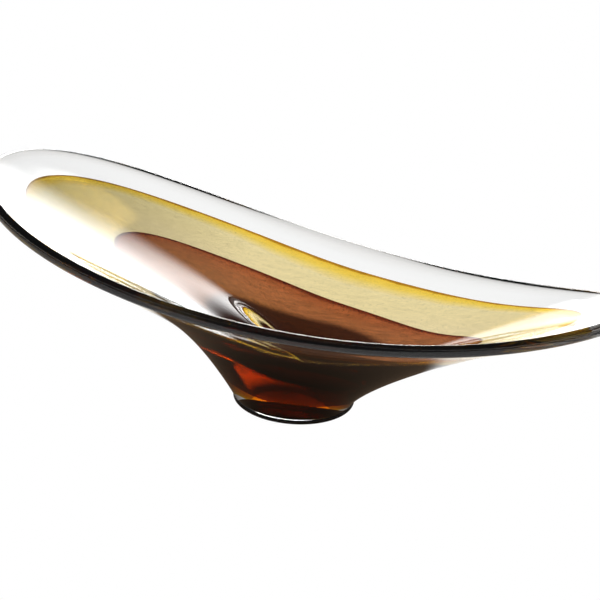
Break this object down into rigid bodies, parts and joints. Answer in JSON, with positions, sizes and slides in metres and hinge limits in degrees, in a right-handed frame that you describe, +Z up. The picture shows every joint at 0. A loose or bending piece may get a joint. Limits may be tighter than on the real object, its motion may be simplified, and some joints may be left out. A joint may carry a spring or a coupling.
{
  "type": "oblong art glass bowl",
  "caption": "Free-standing oblong bowl of cased glass with raised ends, amber and brown colour gathers inside clear glass, and a small round foot.",
  "frame": {"origin": "centre of the foot's flat base, which is also the point that the bowl rests on", "axes": "+X along the bowl's length towards its narrow, lower end; +Y across the bowl; +Z up out of the bowl"},
  "size_m": [0.37, 0.1516, 0.1146],
  "materials": {
    "clear_outer": "fire-polished clear glass",
    "amber": "transparent amber glass, sealed between clear gathers",
    "brown": "transparent red-brown glass with fine specks, sealed between clear gathers",
    "clear_inner": "fire-polished clear glass",
    "brown_foot": "transparent brown glass, ground and polished flat underneath"
  },
  "bodies": {
    "root": {"outer_casing": "clear_outer", "amber_layer": "amber", "brown_layer": "brown", "inner_casing": "clear_inner", "foot": "brown_foot"}
  },
  "joints": []
}
